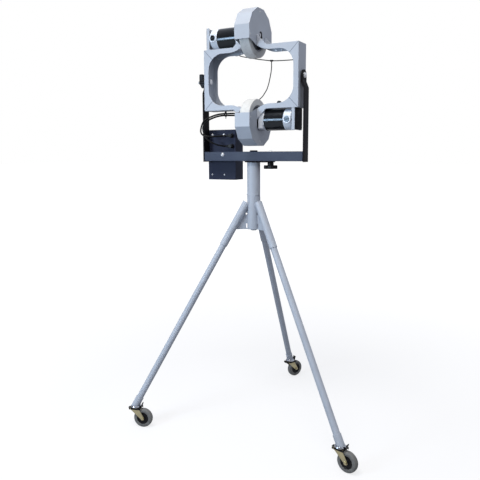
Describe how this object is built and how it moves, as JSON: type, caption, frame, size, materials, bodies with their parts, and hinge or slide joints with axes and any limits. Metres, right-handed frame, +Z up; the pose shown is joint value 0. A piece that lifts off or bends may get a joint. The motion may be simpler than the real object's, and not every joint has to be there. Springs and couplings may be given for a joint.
{
  "type": "volleyball setting machine",
  "caption": "Wheeled tripod with a black yoke that holds a tilting frame, in which powered wheels above and below an open window squeeze a ball and throw it.",
  "frame": {"origin": "the floor point under the mast axis", "axes": "+X along the frame to the right, as seen from the side the ball is thrown to; +Y away from that side; +Z up"},
  "size_m": [1.155, 1.0489, 2.014],
  "materials": {
    "frame_paint": "light silver-grey powder coat, faintly textured",
    "black_paint": "black powder coat, satin",
    "box_paint": "blue-black powder coat, satin",
    "zinc_steel": "bright zinc plate",
    "race_plate": "polished plated ball race",
    "fork_plate": "yellow zinc plate",
    "caster_tread": "grey rubber tread over a black hub",
    "black_plastic": "moulded black plastic, fine grain",
    "motor_shell": "gloss black enamel",
    "cast_alloy": "cast aluminium, bead blasted",
    "wheel_rubber": "cream rubber, scuffed",
    "hub_alloy": "cast aluminium, dark in the shade of the shroud",
    "shaft_steel": "ground steel",
    "cord_black": "black cable sheath",
    "switch_red": "gloss red plastic"
  },
  "bodies": {
    "tripod": {"mast": "frame_paint", "mast_plug": "black_plastic", "sector_plate": "black_paint", "pan_pivot_bolt": "zinc_steel", "leg_socket_left": "frame_paint", "leg_socket_right": "frame_paint", "leg_socket_rear": "frame_paint"},
    "leg_left": {"leg_tube_left": "frame_paint", "caster_race_left": "race_plate"},
    "caster_left": {"caster_fork_left": "fork_plate"},
    "roller_left": {"caster_wheel_left": "caster_tread"},
    "brake_left": {"brake_lever_left": "black_plastic"},
    "leg_right": {"leg_tube_right": "frame_paint", "caster_race_right": "race_plate"},
    "caster_right": {"caster_fork_right": "fork_plate"},
    "roller_right": {"caster_wheel_right": "caster_tread"},
    "brake_right": {"brake_lever_right": "black_plastic"},
    "leg_rear": {"leg_tube_rear": "frame_paint", "caster_race_rear": "race_plate"},
    "caster_rear": {"caster_fork_rear": "fork_plate"},
    "roller_rear": {"caster_wheel_rear": "caster_tread"},
    "brake_rear": {"brake_lever_rear": "black_plastic"},
    "yoke": {"crossbar": "black_paint", "crossbar_cap": "black_plastic", "yoke_arm_left": "black_paint", "yoke_arm_right": "black_paint", "yoke_bolts": "zinc_steel", "tilt_pivot_bolt": "zinc_steel", "control_box": "box_paint", "box_cover": "box_paint", "power_inlet": "black_plastic", "lead_connectors": "black_plastic", "motor_leads": "cord_black"},
    "pan_clamp": {"pan_knob": "black_plastic"},
    "tilt_clamp": {"tilt_knob": "black_plastic"},
    "dial_top": {"speed_dial_top": "black_plastic"},
    "dial_bottom": {"speed_dial_bottom": "black_plastic"},
    "rocker": {"power_switch": "switch_red"},
    "head": {"frame_left": "frame_paint", "frame_right": "frame_paint", "frame_top": "frame_paint", "frame_bottom": "frame_paint", "shroud_top": "frame_paint", "shroud_bottom": "frame_paint", "motor_plates": "black_paint", "motor_guards": "frame_paint", "motor_can_top": "motor_shell", "motor_can_bottom": "motor_shell", "motor_bells_top": "cast_alloy", "motor_bells_bottom": "cast_alloy", "brush_caps": "black_plastic", "frame_bolts": "zinc_steel", "cable_ties": "black_plastic", "frame_wires": "cord_black"},
    "wheel_top": {"wheel_tyre_top": "wheel_rubber", "wheel_hub_top": "hub_alloy", "motor_shaft_top": "shaft_steel"},
    "wheel_bottom": {"wheel_tyre_bottom": "wheel_rubber", "wheel_hub_bottom": "hub_alloy", "motor_shaft_bottom": "shaft_steel"}
  },
  "joints": [
    {"name": "leg_slide_left", "type": "slide", "parent": "tripod", "child": "leg_left", "axis": [-0.3991, -0.2819, -0.8725], "range_m": [0, 0.12]},
    {"name": "caster_swivel_left", "type": "hinge", "parent": "leg_left", "child": "caster_left", "pos_m": [-0.48881, -0.34533, 0.1], "axis": [0, 0, 1], "continuous": true},
    {"name": "caster_roll_left", "type": "hinge", "parent": "caster_left", "child": "roller_left", "pos_m": [-0.45228, -0.33485, 0.0475], "axis": [-0.2756, 0.9613, 0], "continuous": true},
    {"name": "brake_press_left", "type": "hinge", "parent": "caster_left", "child": "brake_left", "pos_m": [-0.50995, -0.35139, 0.096], "axis": [-0.2756, 0.9613, 0], "range_deg": [0, 4.5]},
    {"name": "leg_slide_right", "type": "slide", "parent": "tripod", "child": "leg_right", "axis": [0.4437, -0.2046, -0.8725], "range_m": [0, 0.12]},
    {"name": "caster_swivel_right", "type": "hinge", "parent": "leg_right", "child": "caster_right", "pos_m": [0.54346, -0.25066, 0.1], "axis": [0, 0, 1], "continuous": true},
    {"name": "caster_roll_right", "type": "hinge", "parent": "caster_right", "child": "roller_right", "pos_m": [0.58034, -0.25985, 0.0475], "axis": [0.2419, 0.9703, 0], "continuous": true},
    {"name": "brake_press_right", "type": "hinge", "parent": "caster_right", "child": "brake_right", "pos_m": [0.52212, -0.24533, 0.096], "axis": [0.2419, 0.9703, 0], "range_deg": [0, 4.5]},
    {"name": "leg_slide_rear", "type": "slide", "parent": "tripod", "child": "leg_rear", "axis": [-0.0446, 0.4866, -0.8725], "range_m": [0, 0.12]},
    {"name": "caster_swivel_rear", "type": "hinge", "parent": "leg_rear", "child": "caster_rear", "pos_m": [-0.05466, 0.59598, 0.1], "axis": [0, 0, 1], "continuous": true},
    {"name": "caster_roll_rear", "type": "hinge", "parent": "caster_rear", "child": "roller_rear", "pos_m": [-0.03741, 0.62984, 0.0475], "axis": [-0.891, 0.454, 0], "continuous": true},
    {"name": "brake_press_rear", "type": "hinge", "parent": "caster_rear", "child": "brake_rear", "pos_m": [-0.06465, 0.57638, 0.096], "axis": [-0.891, 0.454, 0], "range_deg": [0, 4.5]},
    {"name": "yoke_pan", "type": "hinge", "parent": "tripod", "child": "yoke", "pos_m": [0, 0, 1.315], "axis": [0, 0, 1], "range_deg": [-29, 39]},
    {"name": "head_tilt", "type": "hinge", "parent": "yoke", "child": "head", "pos_m": [0, 0, 1.702], "axis": [-1, 0, 0], "range_deg": [-15, 60], "deforming": ["motor_leads"]},
    {"name": "top_wheel_spin", "type": "hinge", "parent": "head", "child": "wheel_top", "pos_m": [0, 0, 1.896], "axis": [1, 0, 0], "continuous": true},
    {"name": "bottom_wheel_spin", "type": "hinge", "parent": "head", "child": "wheel_bottom", "pos_m": [0, 0, 1.508], "axis": [1, 0, 0], "continuous": true},
    {"name": "pan_knob_turn", "type": "hinge", "parent": "yoke", "child": "pan_clamp", "pos_m": [0.09, 0, 1.3], "axis": [0, 0, 1], "continuous": true},
    {"name": "tilt_knob_turn", "type": "hinge", "parent": "yoke", "child": "tilt_clamp", "pos_m": [-0.28, 0, 1.702], "axis": [1, 0, 0], "continuous": true},
    {"name": "top_speed_dial", "type": "hinge", "parent": "yoke", "child": "dial_top", "pos_m": [-0.156, 0.104, 1.414], "axis": [0, 1, 0], "range_deg": [0, 300]},
    {"name": "bottom_speed_dial", "type": "hinge", "parent": "yoke", "child": "dial_bottom", "pos_m": [-0.226, 0.104, 1.414], "axis": [0, 1, 0], "range_deg": [0, 300]},
    {"name": "power_rocker", "type": "hinge", "parent": "yoke", "child": "rocker", "pos_m": [-0.191, 0.104, 1.342], "axis": [-1, 0, 0], "range_deg": [0, 14]}
  ]
}
